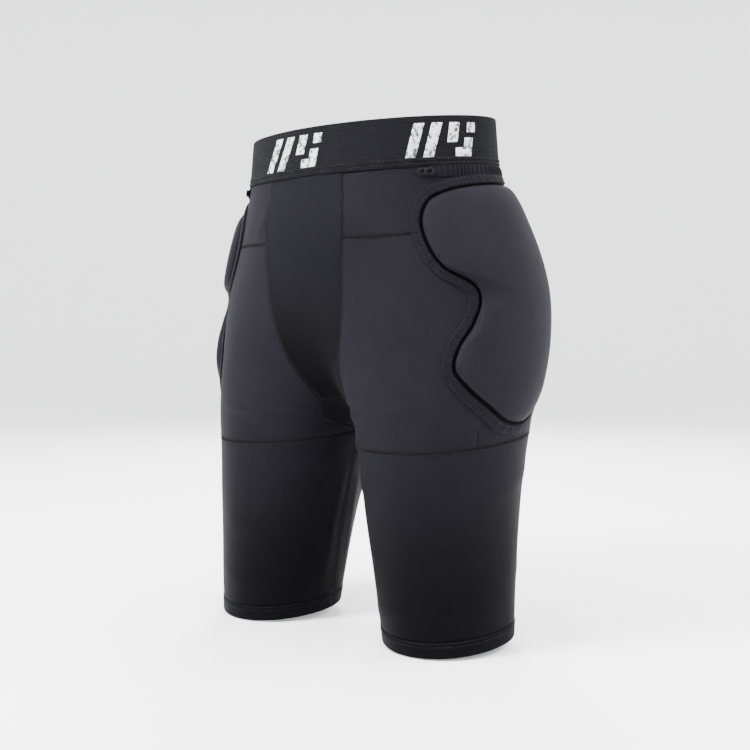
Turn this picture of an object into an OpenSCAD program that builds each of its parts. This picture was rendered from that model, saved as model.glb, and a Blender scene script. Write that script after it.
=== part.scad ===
// Padded impact shorts: stretch shorts with wrap-round hip pads and a three-lobed seat pad.
// Millimetres. The origin is the centre of the waist opening, level with the top of the band.
// +Z is up, -Y is the wearer's front and +X is the wearer's left.

/* [Waist] */
// half width of the waist
waist_half_w = 117; // [100:1:140]
// waist front to centre
waist_front = 86; // [70:1:110]
// waist back to centre
waist_back = 89; // [70:1:110]
// height of the elastic waistband
band_h = 46; // [30:1:60]
// thickness of the elastic waistband
band_t = 2.2; // [1.5:0.1:4]

/* [Hips] */
// depth of the widest part of the hips
hip_depth = 170; // [150:1:190]
// half width of the hips
hip_half_w = 170; // [150:1:190]
// hips front to centre
hip_front = 99; // [85:1:115]
// hips back to centre
hip_back = 126; // [105:1:140]
// how much higher the back stands than the front, for each unit front to back
back_rise = 0.10; // [0:0.01:0.2]

/* [Legs] */
// depth of the crotch
crotch_depth = 280; // [270:1:290]
// total length from the waist to the hems
total_length = 484; // [440:1:500]
// half width over both hems
hem_half_w = 168; // [150:1:180]
// hem front to centre
hem_front = 84; // [70:1:90]
// hem back to centre
hem_back = 38; // [30:1:60]
// depth of the turned-up hem
hem_h = 14; // [10:1:25]
// depth of the seam round each thigh
thigh_seam = 300; // [295:1:302]

/* [Cloth and pads] */
// thickness of the stretch cloth
cloth_t = 1.2; // [0.8:0.1:2]
// thickness of the hip pads
hip_pad_t = 11; // [6:0.5:16]
// thickness of the buttock pads
seat_pad_t = 14; // [8:0.5:20]
// thickness of the tailbone pad
tail_pad_t = 11; // [8:0.5:20]
// radius of the raised seam threads
thread_r = 0.9; // [0.6:0.1:1.5]

/* [Hip joints] */
// how far back each hip's axis is
hinge_y = -17; // [-30:1:0]
// height of each hip's axis
hinge_z = -190; // [-200:1:-180]
// radius of the round parting between the pelvis and each leg
hinge_r = 148; // [146:1:150]
// gap at that parting
hinge_gap = 1.2; // [0.8:0.1:3]

/* [Hidden] */
cloth_black = [0.20, 0.19, 0.23];
band_black = [0.12, 0.12, 0.14];
foam_grey = [0.30, 0.30, 0.32];
mesh_black = [0.10, 0.10, 0.11];
thread_black = [0.05, 0.05, 0.06];
thread_orange = [0.78, 0.30, 0.10];
gap = 0.25;
step = 0.5;
soft_front = 0.45;
soft_back = 0.22;

// depth, half width, front, back, spread of the two legs
form = [
  [-30, waist_half_w - 3, waist_front - 3, waist_back - 3, 0],
  [0, waist_half_w, waist_front, waist_back, 0],
  [47, waist_half_w + 9, waist_front + 5, waist_back + 9, 0.06],
  [90, hip_half_w - 24, hip_front - 2, hip_back - 15, 0.20],
  [130, hip_half_w - 9, hip_front, hip_back - 5, 0.37],
  [hip_depth, hip_half_w, hip_front, hip_back, 0.56],
  [210, hip_half_w + 3, hip_front, hip_back - 5, 0.75],
  [250, hip_half_w + 2, hip_front, hip_back - 18, 0.97],
  [crotch_depth, hip_half_w, hip_front, hip_back - 31, 1.13],
  [crotch_depth + 35, hip_half_w - 2, hip_front - 2, hip_back - 44, 1.235],
  [crotch_depth + 70, hip_half_w - 3, hip_front - 4, hip_back - 56, 1.325],
  [crotch_depth + 120, hip_half_w - 3, hip_front - 8, hip_back - 71, 1.46],
  [total_length, hem_half_w, hem_front, hem_back, 1.71],
  [total_length + 30, hem_half_w, hem_front - 2, hem_back - 4, 1.78]
];

function smooth(x) = let(c = max(0, min(1, x))) c * c * (3 - 2 * c);
function round_over(x) = sqrt(max(0, 1 - pow(1 - max(0, min(1, x)), 2)));
function row_of(d, i = 1) = (i >= len(form) - 3 || form[i + 1][0] > d) ? i : row_of(d, i + 1);
function bend(p, q, r, s, a, b, c, e, x) =
  let(
    h = c - b,
    t = (x - b) / h,
    m = (r - p) / (c - a) * h,
    n = (s - q) / (e - b) * h
  )
  (2 * t * t * t - 3 * t * t + 1) * q + (t * t * t - 2 * t * t + t) * m
  + (3 * t * t - 2 * t * t * t) * r + (t * t * t - t * t) * n;

// one level cut of the body: each leg's half width, its centre, and its front and back radius
function level(d) =
  let(
    i = row_of(d),
    p = form[i - 1],
    q = form[i],
    r = form[i + 1],
    s = form[i + 2],
    v = [for (k = [1:4]) bend(p[k], q[k], r[k], s[k], p[0], q[0], r[0], s[0], d)],
    half = v[0] / (1 + v[3]),
    cy = (v[2] - v[1]) * 0.3
  )
  [half, v[3] * half, cy, cy + v[1], v[2] - cy];

// below zero inside the body at that level, above zero outside it
function reach(s, x, y) =
  let(
    ry = y < s[2] ? s[3] : s[4],
    w = smooth((y - s[2]) / 80),
    k = soft_front + (soft_back - soft_front) * w,
    g = pow((y - s[2]) / ry, 2) - 1,
    a = pow((x - s[1]) / s[0], 2) + g,
    b = pow((x + s[1]) / s[0], 2) + g,
    m = min(a, b)
  )
  m - k * ln(exp((m - a) / k) + exp((m - b) / k));

function search(s, x, y, c, n, lo, hi, k = 15) =
  k == 0 ? lo :
  let(mid = (lo + hi) / 2)
  reach(s, x + mid * c, y + mid * n) <= 0
    ? search(s, x, y, c, n, mid, hi, k - 1)
    : search(s, x, y, c, n, lo, mid, k - 1);

// the two rays that start and end the left half: the body's centre line, or the inside of a leg
function span(s) =
  reach(s, 0, s[2]) > 0 ? [-180, 180] :
  [
    atan2(-search(s, 0, s[2], 0, -1, 0, 200), -s[1] - 0.000001),
    atan2(search(s, 0, s[2], 0, 1, 0, 200), -s[1] - 0.000001)
  ];

// a place on the body and its outward direction. w runs from 0 at the front centre through the
// wearer's left to 1 at the back centre, and on to 2 through the right, or from 0 down to -1
function place(w, d) =
  let(
    sign_x = (w > 1 || w < 0) ? -1 : 1,
    t = w > 1 ? 2 - w : abs(w),
    s = level(d),
    e = span(s),
    a = e[0] + (e[1] - e[0]) * t,
    far = cos(a) < -0.000001 ? min(300, -s[1] / cos(a)) : 300,
    r = search(s, s[1], s[2], cos(a), sin(a), 0, far),
    ray_x = s[1] + r * cos(a),
    x = ray_x < 0.02 ? 0 : ray_x,
    y = s[2] + r * sin(a),
    u = level(d - step),
    v = level(d + step),
    gx = reach(s, x + step, y) - reach(s, x - step, y),
    gy = reach(s, x, y + step) - reach(s, x, y - step),
    gd = reach(v, x, y) - reach(u, x, y),
    n = [sign_x * gx, gy + back_rise * gd, -gd]
  )
  [[sign_x * x, y, back_rise * y - d], n / norm(n)];

// the depth at which the body meets the round parting about the hip's axis
function parting(w, r, k = 4, d = 320) =
  k == 0 ? d :
  let(y = place(w, d)[0][1])
  parting(w, r, k - 1, back_rise * y - hinge_z + sqrt(r * r - pow(y - hinge_y, 2)));

// the depth at which the two legs part
function close_depth(lo = 270, hi = 320, k = 20) =
  k == 0 ? lo :
  let(mid = (lo + hi) / 2, s = level(mid))
  reach(s, 0, s[2]) <= 0 ? close_depth(mid, hi, k - 1) : close_depth(lo, mid, k - 1);
fork = close_depth();

function smooth_loop(list, x) =
  let(
    n = len(list),
    f = x * n,
    i = floor(f),
    t = f - i,
    a = list[(i + n - 1) % n],
    b = list[i % n],
    c = list[(i + 1) % n],
    e = list[(i + 2) % n]
  )
  b + 0.5 * t * ((c - a) + t * ((2 * a - 5 * b + 4 * c - e) + t * (3 * (b - c) + e - a)));
function smooth_run(list, x) =
  let(
    n = len(list) - 1,
    f = max(0, min(0.99999, x)) * n,
    i = floor(f),
    t = f - i,
    b = list[i],
    c = list[i + 1],
    a = i > 0 ? list[i - 1] : 2 * b - c,
    e = i + 2 <= n ? list[i + 2] : 2 * c - b
  )
  b + 0.5 * t * ((c - a) + t * ((2 * a - 5 * b + 4 * c - e) + t * (3 * (b - c) + e - a)));

// a closed sheet over a grid: at(u, v) gives [w, depth], low and high give its two heights
module sheet(us, vs, at, low, high) {
  nu = len(us);
  nv = len(vs);
  base = [for (v = vs) for (u = us) let(q = at(u, v)) place(q[0], q[1])];
  tall = [for (v = vs) for (u = us) high(u, v)];
  deep = [for (v = vs) for (u = us) low(u, v)];
  size = nu * nv;
  points = concat(
    [for (i = [0:size - 1]) base[i][0] + base[i][1] * tall[i]],
    [for (i = [0:size - 1]) base[i][0] + base[i][1] * deep[i]]
  );
  cells = [for (j = [0:nv - 2]) for (i = [0:nu - 2]) j * nu + i];
  edge = concat(
    [for (i = [0:nu - 2]) i],
    [for (j = [0:nv - 2]) j * nu + nu - 1],
    [for (i = [nu - 1:-1:1]) (nv - 1) * nu + i],
    [for (j = [nv - 1:-1:1]) j * nu]
  );
  m = len(edge);
  faces = concat(
    [for (c = cells) [c, c + 1, c + nu + 1]],
    [for (c = cells) [c, c + nu + 1, c + nu]],
    [for (c = cells) [c + size, c + nu + 1 + size, c + 1 + size]],
    [for (c = cells) [c + size, c + nu + size, c + nu + 1 + size]],
    [for (i = [0:m - 1]) [edge[i], edge[i] + size, edge[(i + 1) % m]]],
    [for (i = [0:m - 1]) [edge[(i + 1) % m], edge[i] + size, edge[(i + 1) % m] + size]]
  );
  polyhedron(points, faces, convexity = 8);
}

// a closed sleeve right round the body or a leg: at(u, v) repeats when u reaches 1
module sleeve(nu, vs, at, low, high) {
  nv = len(vs);
  base = [for (v = vs) for (i = [0:nu - 1]) let(q = at(i / nu, v)) place(q[0], q[1])];
  size = nu * nv;
  points = concat(
    [for (b = base) b[0] + b[1] * high],
    [for (b = base) b[0] + b[1] * low]
  );
  cells = [for (j = [0:nv - 2]) for (i = [0:nu - 1]) [j * nu + i, j * nu + (i + 1) % nu]];
  last = (nv - 1) * nu;
  faces = concat(
    [for (c = cells) [c[0], c[1], c[1] + nu]],
    [for (c = cells) [c[0], c[1] + nu, c[0] + nu]],
    [for (c = cells) [c[0] + size, c[1] + nu + size, c[1] + size]],
    [for (c = cells) [c[0] + size, c[0] + nu + size, c[1] + nu + size]],
    [for (i = [0:nu - 1]) [i, i + size, (i + 1) % nu]],
    [for (i = [0:nu - 1]) [(i + 1) % nu, i + size, (i + 1) % nu + size]],
    [for (i = [0:nu - 1]) [last + i, last + (i + 1) % nu, last + i + size]],
    [for (i = [0:nu - 1]) [last + (i + 1) % nu, last + (i + 1) % nu + size, last + i + size]]
  );
  polyhedron(points, faces, convexity = 8);
}

// a closed disc: at(s, f) gives [w, depth] round the outline s and out from its middle by f
module disc(ns, fs, at, low, high) {
  nf = len(fs);
  mid = let(q = at(0, 0)) place(q[0], q[1]);
  base = [for (f = fs) for (i = [0:ns - 1]) let(q = at(i / ns, f)) place(q[0], q[1])];
  all = concat([mid], base);
  tall = concat([high(0)], [for (f = fs) for (i = [0:ns - 1]) high(f)]);
  deep = concat([low(0)], [for (f = fs) for (i = [0:ns - 1]) low(f)]);
  size = len(all);
  points = concat(
    [for (i = [0:size - 1]) all[i][0] + all[i][1] * tall[i]],
    [for (i = [0:size - 1]) all[i][0] + all[i][1] * deep[i]]
  );
  cells = [for (j = [0:nf - 2]) for (i = [0:ns - 1]) [1 + j * ns + i, 1 + j * ns + (i + 1) % ns]];
  last = 1 + (nf - 1) * ns;
  faces = concat(
    [for (i = [0:ns - 1]) [0, 1 + i, 1 + (i + 1) % ns]],
    [for (i = [0:ns - 1]) [size, size + 1 + (i + 1) % ns, size + 1 + i]],
    [for (c = cells) [c[0], c[0] + ns, c[1] + ns]],
    [for (c = cells) [c[0], c[1] + ns, c[1]]],
    [for (c = cells) [c[0] + size, c[1] + ns + size, c[0] + ns + size]],
    [for (c = cells) [c[0] + size, c[1] + size, c[1] + ns + size]],
    [for (i = [0:ns - 1]) [last + i, last + i + size, last + (i + 1) % ns]],
    [for (i = [0:ns - 1]) [last + (i + 1) % ns, last + i + size, last + (i + 1) % ns + size]]
  );
  polyhedron(points, faces, convexity = 8);
}

// a raised thread with four sides, laid along at(u) at one height over the cloth
module thread(n, at, height, r = thread_r, closed = false) {
  m = closed ? n : n + 1;
  line = [for (i = [0:m - 1]) let(q = at(i / n)) place(q[0], q[1])];
  spot = [for (b = line) b[0] + b[1] * height];
  along = [
    for (i = [0:m - 1])
      let(
        a = closed ? spot[(i + m - 1) % m] : spot[max(0, i - 1)],
        b = closed ? spot[(i + 1) % m] : spot[min(m - 1, i + 1)]
      )
      (b - a) / norm(b - a)
  ];
  points = [
    for (i = [0:m - 1])
      let(b = cross(along[i], line[i][1]), c = b / norm(b))
      for (k = [0:3]) spot[i] + r * (cos(k * 90) * c + sin(k * 90) * line[i][1])
  ];
  rings = closed ? m - 1 : m - 2;
  faces = concat(
    [
      for (i = [0:rings])
        for (k = [0:3])
          [i * 4 + k, i * 4 + (k + 1) % 4, ((i + 1) % m) * 4 + (k + 1) % 4]
    ],
    [
      for (i = [0:rings])
        for (k = [0:3])
          [i * 4 + k, ((i + 1) % m) * 4 + (k + 1) % 4, ((i + 1) % m) * 4 + k]
    ],
    closed ? [] : [[3, 2, 1, 0], [m * 4 - 4, m * 4 - 3, m * 4 - 2, m * 4 - 1]]
  );
  polyhedron(points, faces, convexity = 8);
}

// where the panels meet
gusset_top = fork - 24;
function fly_edge(d) = smooth_run([0.125, 0.118, 0.098, 0.082, 0.062, 0.036], (d - 47) / (gusset_top - 47));
function gusset_edge(d) =
  d < fork
    ? mix(0.036, 0.062, smooth((d - gusset_top) / 24))
    : mix(0.010, 0.062, smooth((thigh_seam - d) / (thigh_seam - fork)));
// depths that crowd together where the two legs part
gusset_rows = concat(
  [for (k = [0:5]) fork - 24 * pow(1 - k / 5.0, 2)],
  [for (k = [1:3]) fork + (thigh_seam - gap - fork) * pow(k / 3, 2)]
);
function rows_from(top) = concat(
  [for (k = [0:13]) mix(top, gusset_top, k / 14)],
  gusset_rows
);
side_edge = 0.40;
function seat_edge(d) = 0.80 - 0.0002 * (d - 47);
function steps(n) = [for (i = [0:n]) i / n];
function mix(a, b, t) = a + (b - a) * t;
top_edge = band_h + 2 * gap;

module waistband() {
  color(band_black)
    sleeve(
      60,
      steps(3),
      function(u, v) [2 * u - 1, v * band_h],
      -band_t / 2,
      band_t / 2
    );
}

module waist_seam() {
  color(thread_black)
    thread(
      60,
      function(u) [2 * u - 1, band_h - 3],
      band_t / 2 + thread_r + 0.3,
      thread_r,
      true
    );
}

module fly_panel() {
  color(cloth_black)
    sheet(
      [-1, -0.66, -0.33, 0, 0.33, 0.66, 1],
      steps(15),
      function(u, v) let(d = mix(top_edge, gusset_top - gap, v)) [u * (fly_edge(d) - 0.0006), d],
      function(u, v) -cloth_t,
      function(u, v) 0
    );
}

// the piece between the legs: four quarters that share their points where they join. Above the
// fork the left and right quarters join, and below it the front and back ones do
gusset_wide = 3;
gusset_long = len(gusset_rows) - 1;
gusset_fork = 5;
function quarter_side(q) = q % 2 == 0 ? 1 : -1;
function quarter_point(q, i, j) =
  let(w = i / gusset_wide * gusset_edge(gusset_rows[j]))
  place(quarter_side(q) * (q < 2 ? w : 1 - w), gusset_rows[j]);
function quarter_id(q, i, j) =
  i > 0 ? 1 + (q * (gusset_long + 1) + j) * gusset_wide + i - 1 :
  j == gusset_fork ? 0 :
  let(first = 1 + 4 * (gusset_long + 1) * gusset_wide)
  j < gusset_fork
    ? first + floor(q / 2) * gusset_fork + j
    : first + 2 * gusset_fork + (q % 2) * (gusset_long - gusset_fork) + j - gusset_fork - 1;

module crotch_gusset() {
  line = concat(
    [quarter_point(0, 0, gusset_fork)],
    [for (q = [0:3]) for (j = [0:gusset_long]) for (i = [1:gusset_wide]) quarter_point(q, i, j)],
    [for (q = [0, 2]) for (j = [0:gusset_fork - 1]) quarter_point(q, 0, j)],
    [for (q = [0, 3]) for (j = [gusset_fork + 1:gusset_long]) quarter_point(q, 0, j)]
  );
  size = len(line);
  cells = [
    for (q = [0:3])
      for (j = [0:gusset_long - 1])
        for (i = [0:gusset_wide - 1])
          let(
            a = [quarter_id(q, i, j), quarter_id(q, i + 1, j)],
            b = [quarter_id(q, i + 1, j + 1), quarter_id(q, i, j + 1)],
            c = concat(a, b)
          )
          (q == 0 || q == 3) ? c : [c[0], c[3], c[2], c[1]]
  ];
  rim = [
    for (q = [0:3])
      let(
        n = gusset_wide,
        m = gusset_long,
        walk = concat(
          [for (i = [0:n - 1]) [quarter_id(q, i, 0), quarter_id(q, i + 1, 0)]],
          [for (j = [0:m - 1]) [quarter_id(q, n, j), quarter_id(q, n, j + 1)]],
          [for (i = [n:-1:1]) [quarter_id(q, i, m), quarter_id(q, i - 1, m)]]
        )
      )
      for (e = walk) (q == 0 || q == 3) ? e : [e[1], e[0]]
  ];
  color(cloth_black)
    polyhedron(
      concat([for (p = line) p[0]], [for (p = line) p[0] - cloth_t * p[1]]),
      concat(
        [for (c = cells) [c[0], c[1], c[2]]],
        [for (c = cells) [c[0], c[2], c[3]]],
        [for (c = cells) [c[0] + size, c[2] + size, c[1] + size]],
        [for (c = cells) [c[0] + size, c[3] + size, c[2] + size]],
        [for (e = rim) [e[0], e[0] + size, e[1]]],
        [for (e = rim) [e[1], e[0] + size, e[1] + size]]
      ),
      convexity = 8
    );
}

module fly_seam(side) {
  color(thread_black)
    thread(
      18,
      function(u) let(d = mix(50, gusset_top, u)) [side * fly_edge(d), d],
      thread_r + 0.3
    );
}

module fly_seam_left() fly_seam(1);
module fly_seam_right() fly_seam(-1);

module yoke(side) {
  color(cloth_black)
    sheet(
      side > 0 ? steps(6) : [for (u = steps(6)) 1 - u],
      steps(4),
      function(u, v)
        let(d = mix(top_edge, 106 - gap, v))
        [side * mix(fly_edge(d) + 0.0006, side_edge - 0.0009, u), d],
      function(u, v) -cloth_t,
      function(u, v) 0
    );
}

module yoke_left() yoke(1);
module yoke_right() yoke(-1);

module yoke_seam(side) {
  color(thread_black)
    thread(
      8,
      function(u) [side * mix(0.125, 0.268, u), 106],
      thread_r + 0.3
    );
}

module yoke_seam_left() yoke_seam(1);
module yoke_seam_right() yoke_seam(-1);

module front_panel(side) {
  color(cloth_black)
    sheet(
      side > 0 ? steps(9) : [for (u = steps(9)) 1 - u],
      rows_from(106 + gap),
      function(u, d)
        let(inner = (d < gusset_top ? fly_edge(d) : gusset_edge(d)) + 0.0010)
        [side * mix(inner, side_edge - 0.0009, u), d],
      function(u, v) -cloth_t,
      function(u, v) 0
    );
}

module front_panel_left() front_panel(1);
module front_panel_right() front_panel(-1);

module side_panel(side) {
  color(cloth_black)
    sheet(
      side > 0 ? steps(12) : [for (u = steps(12)) 1 - u],
      steps(17),
      function(u, v)
        let(d = mix(top_edge, thigh_seam - gap, v))
        [side * mix(side_edge + 0.0009, seat_edge(d) - 0.0009, u), d],
      function(u, v) -cloth_t,
      function(u, v) 0
    );
}

module side_panel_left() side_panel(1);
module side_panel_right() side_panel(-1);

module seat_panel(side) {
  color(cloth_black)
    sheet(
      side > 0 ? steps(8) : [for (u = steps(8)) 1 - u],
      concat([for (k = [0:13]) mix(top_edge, gusset_top, k / 14)], [gusset_top - 0.4], gusset_rows),
      function(u, d)
        let(inner = d < gusset_top - 0.2 ? 0 : gusset_edge(d) + 0.0006)
        [side * mix(seat_edge(d) + 0.0009, 0.9990 - inner, u), d],
      function(u, v) -cloth_t,
      function(u, v) 0
    );
}

module seat_panel_left() seat_panel(1);
module seat_panel_right() seat_panel(-1);

module upper_thigh(side) {
  color(cloth_black)
    sleeve(
      32,
      steps(2),
      function(u, v) let(w = side > 0 ? u : 1 - u)
        [side * w, mix(thigh_seam + gap, parting(w, hinge_r), v)],
      -cloth_t,
      0
    );
}

module upper_thigh_left() upper_thigh(1);
module upper_thigh_right() upper_thigh(-1);

module thigh_seam_thread(side) {
  color(thread_black)
    thread(
      30,
      function(u) [side * mix(0.03, 0.97, u), thigh_seam],
      thread_r + 0.3
    );
}

module thigh_seam_left() thigh_seam_thread(1);
module thigh_seam_right() thigh_seam_thread(-1);

// the hip pad's outline, with a notch part way down its front edge
hip_outline = [
  [0.660, 57], [0.580, 56], [0.500, 56], [0.430, 57], [0.365, 61], [0.308, 71], [0.277, 93],
  [0.279, 119], [0.304, 143], [0.360, 162], [0.344, 184], [0.309, 206], [0.298, 230], [0.334, 252],
  [0.390, 272], [0.450, 288], [0.520, 292], [0.585, 276], [0.628, 248], [0.660, 210], [0.685, 165],
  [0.700, 122], [0.698, 82]
];
hip_middle = [0.49, 172];
foam_lift = 1.9;
function hip_at(s, f) = hip_middle + f * (smooth_loop(hip_outline, s) - hip_middle);
function hip_dome(f) = sqrt(max(0, 1 - pow(min(1, f / 0.93), 5)));
function hip_top(f) = 1.7 + (hip_pad_t - 1.7) * hip_dome(f);

module hip_foam(side) {
  color(foam_grey)
    disc(
      46,
      [0.3, 0.55, 0.72, 0.82, 0.88],
      function(s, f) let(q = hip_at(side > 0 ? s : 1 - s, f)) [side * q[0], q[1]],
      function(f) foam_lift,
      function(f) foam_lift + 0.8 * (hip_top(f) - foam_lift - 1.8)
    );
}

module hip_foam_left() hip_foam(1);
module hip_foam_right() hip_foam(-1);

module hip_cover(side) {
  color(cloth_black)
    disc(
      46,
      [0.3, 0.55, 0.72, 0.82, 0.88, 0.93, 1],
      function(s, f) let(q = hip_at(side > 0 ? s : 1 - s, f)) [side * q[0], q[1]],
      function(f) hip_top(f) - 1,
      function(f) hip_top(f)
    );
}

module hip_cover_left() hip_cover(1);
module hip_cover_right() hip_cover(-1);

module hip_binding(side) {
  color(thread_black)
    sleeve(
      46,
      [0.95, 1.0],
      function(u, v) let(q = hip_at(side > 0 ? u : 1 - u, v)) [side * q[0], q[1]],
      2.2,
      3.4
    );
}

module hip_binding_left() hip_binding(1);
module hip_binding_right() hip_binding(-1);

module hip_gather(side) {
  color(thread_black)
    sheet(
      side > 0 ? steps(26) : [for (u = steps(26)) 1 - u],
      steps(1),
      function(u, v) [side * mix(0.345, 0.665, u), mix(top_edge, 53, v)],
      function(u, v) 0.4,
      function(u, v) 1.7 + 0.5 * cos(u * 360 * 13)
    );
}

module hip_gather_left() hip_gather(1);
module hip_gather_right() hip_gather(-1);

module hip_tab(side) {
  color(thread_black)
    sheet(
      side > 0 ? steps(1) : [1, 0],
      steps(1),
      function(u, v) [side * mix(0.318, 0.336, u), mix(top_edge, 57, v)],
      function(u, v) 0.4,
      function(u, v) 1.9
    );
}

module hip_tab_left() hip_tab(1);
module hip_tab_right() hip_tab(-1);

// the seat pad: grooves part a tailbone lobe from a buttock lobe on each side
groove = 0.4;
groove_line = [0.158, 0.158, 0.132, 0.104, 0.082, 0.064, 0.052, 0.046, 0.042];
outer_line = [0.178, 0.212, 0.236, 0.254, 0.270, 0.282, 0.290, 0.290, 0.262];
bottom_line = [250, 268, 278, 283, 285, 284, 280, 270];
function seat_at(u, v) =
  let(
    a = abs(u),
    g = smooth_run(groove_line, v),
    r = smooth_run(outer_line, v),
    k = (a - groove) / (1 - groove),
    off = a <= groove ? g * a / groove : mix(g, r, k),
    top = a <= groove ? mix(52, 59, pow(a / groove, 2)) : mix(59, 68, k),
    low = a <= groove ? mix(246, 250, pow(a / groove, 2)) : smooth_run(bottom_line, k)
  )
  [1 - (u < 0 ? -off : off), mix(top, low, v)];
function seat_top(u, v) =
  let(
    a = abs(u),
    ends = round_over(min(v - 0.03, 0.97 - v) / 0.14),
    tail = round_over((groove - 0.01 - a) / 0.13),
    seat = round_over(min(a - groove - 0.01, 0.965 - a) / 0.17)
  )
  1.7 + ends * (a < groove ? (tail_pad_t - 1.7) * tail : (seat_pad_t - 1.7) * seat);
seat_half = [0, 0.14, 0.26, 0.33, 0.375, 0.40, 0.425, 0.47, 0.55, 0.68, 0.80, 0.90, 0.96, 1];
seat_columns = concat([for (i = [13:-1:1]) seat_half[i]], [for (a = seat_half) -a]);
seat_rows = [0, 0.03, 0.06, 0.11, 0.18, 0.28, 0.38, 0.48, 0.58, 0.68, 0.78, 0.86, 0.92, 0.965, 1];
foam_rows = [0.07, 0.12, 0.18, 0.28, 0.38, 0.48, 0.58, 0.68, 0.78, 0.86, 0.91];
function foam_top(u, v) = foam_lift + 0.8 * max(0.6, seat_top(u, v) - foam_lift - 1.8);

module tailbone_foam() {
  color(foam_grey)
    sheet(
      [0.355, 0.32, 0.26, 0.14, 0, -0.14, -0.26, -0.32, -0.355],
      foam_rows,
      function(u, v) seat_at(u, v),
      function(u, v) foam_lift,
      function(u, v) foam_top(u, v)
    );
}

buttock_columns = [0.92, 0.88, 0.80, 0.68, 0.56, 0.49, 0.45];

module buttock_foam(side) {
  color(foam_grey)
    sheet(
      side > 0 ? buttock_columns : [for (i = [6:-1:0]) -buttock_columns[i]],
      foam_rows,
      function(u, v) seat_at(u, v),
      function(u, v) foam_lift,
      function(u, v) foam_top(u, v)
    );
}

module buttock_foam_left() buttock_foam(1);
module buttock_foam_right() buttock_foam(-1);

module seat_cover() {
  color(mesh_black)
    sheet(
      seat_columns,
      seat_rows,
      function(u, v) seat_at(u, v),
      function(u, v) seat_top(u, v) - 1,
      function(u, v) seat_top(u, v)
    );
}

// once round the seat pad's flange, from its top right corner
function flange(x) =
  let(f = 4 * (x - floor(x)), i = floor(f), t = f - i)
  i == 0 ? seat_at(mix(-0.99, 0.99, t), 0.01) :
  i == 1 ? seat_at(0.99, mix(0.01, 0.99, t)) :
  i == 2 ? seat_at(mix(0.99, -0.99, t), 0.99) :
  seat_at(-0.99, mix(0.99, 0.01, t));

module seat_stitching() {
  color(thread_orange)
    thread(
      88,
      function(u) flange(u),
      1.7 + thread_r + 2,
      thread_r,
      true
    );
}

module leg_panel(side) {
  color(cloth_black)
    sleeve(
      32,
      steps(8),
      function(u, v) let(w = side > 0 ? u : 1 - u)
        [side * w, mix(parting(w, hinge_r + hinge_gap), total_length - hem_h - gap, v)],
      -cloth_t,
      0
    );
}

module leg_panel_left() leg_panel(1);
module leg_panel_right() leg_panel(-1);

module inseam(side) {
  color(thread_black)
    thread(
      14,
      function(u) [0, mix(350, total_length - 2, u)],
      thread_r + 0.3
    );
}

module inseam_left() inseam(1);
module inseam_right() mirror([1, 0, 0]) inseam(1);

module hem(side) {
  color(cloth_black)
    sleeve(
      32,
      steps(1),
      function(u, v) let(w = side > 0 ? u : 1 - u)
        [side * w, mix(total_length - hem_h + gap, total_length, v)],
      -cloth_t - 0.8,
      0
    );
}

module hem_left() hem(1);
module hem_right() hem(-1);

module hem_seam(side) {
  color(thread_black)
    thread(
      32,
      function(u) [side * mix(0.02, 0.98, u), total_length - hem_h],
      thread_r + 0.3
    );
}

module hem_seam_left() hem_seam(1);
module hem_seam_right() hem_seam(-1);

waistband();
waist_seam();
fly_panel();
crotch_gusset();
fly_seam_left();
fly_seam_right();
yoke_left();
yoke_right();
yoke_seam_left();
yoke_seam_right();
front_panel_left();
front_panel_right();
side_panel_left();
side_panel_right();
seat_panel_left();
seat_panel_right();
upper_thigh_left();
upper_thigh_right();
thigh_seam_left();
thigh_seam_right();
hip_gather_left();
hip_gather_right();
hip_tab_left();
hip_tab_right();
hip_foam_left();
hip_foam_right();
hip_cover_left();
hip_cover_right();
hip_binding_left();
hip_binding_right();
tailbone_foam();
buttock_foam_left();
buttock_foam_right();
seat_cover();
seat_stitching();
leg_panel_left();
leg_panel_right();
inseam_left();
inseam_right();
hem_left();
hem_right();
hem_seam_left();
hem_seam_right();
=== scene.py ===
"""Looks for the padded impact shorts: cloth panels, waistband, pads, bindings and stitching."""
import math

import bpy
import numpy as np
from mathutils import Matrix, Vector


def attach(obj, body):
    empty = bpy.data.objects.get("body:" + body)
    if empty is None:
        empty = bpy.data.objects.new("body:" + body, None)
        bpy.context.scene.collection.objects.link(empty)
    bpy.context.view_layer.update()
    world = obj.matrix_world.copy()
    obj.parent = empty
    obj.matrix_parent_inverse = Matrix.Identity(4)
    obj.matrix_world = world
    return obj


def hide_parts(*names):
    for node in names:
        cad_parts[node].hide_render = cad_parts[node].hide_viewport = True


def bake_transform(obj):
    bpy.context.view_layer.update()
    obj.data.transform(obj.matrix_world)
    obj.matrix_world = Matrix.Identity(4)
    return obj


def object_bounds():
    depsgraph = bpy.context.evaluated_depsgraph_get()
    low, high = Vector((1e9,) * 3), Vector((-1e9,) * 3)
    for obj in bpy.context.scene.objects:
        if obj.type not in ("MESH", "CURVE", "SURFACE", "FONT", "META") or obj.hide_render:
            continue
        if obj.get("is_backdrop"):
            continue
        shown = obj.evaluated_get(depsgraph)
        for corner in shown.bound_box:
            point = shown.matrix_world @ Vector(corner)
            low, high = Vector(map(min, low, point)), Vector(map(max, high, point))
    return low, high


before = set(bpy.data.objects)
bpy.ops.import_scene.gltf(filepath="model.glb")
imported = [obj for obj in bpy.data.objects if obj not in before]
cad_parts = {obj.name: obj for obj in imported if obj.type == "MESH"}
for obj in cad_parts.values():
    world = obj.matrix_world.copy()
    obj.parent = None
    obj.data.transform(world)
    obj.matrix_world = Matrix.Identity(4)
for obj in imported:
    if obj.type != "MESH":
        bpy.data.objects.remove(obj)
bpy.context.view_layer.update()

MM = 0.001
PELVIS = "pelvis"
NAME = {1: "left", -1: "right"}

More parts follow.
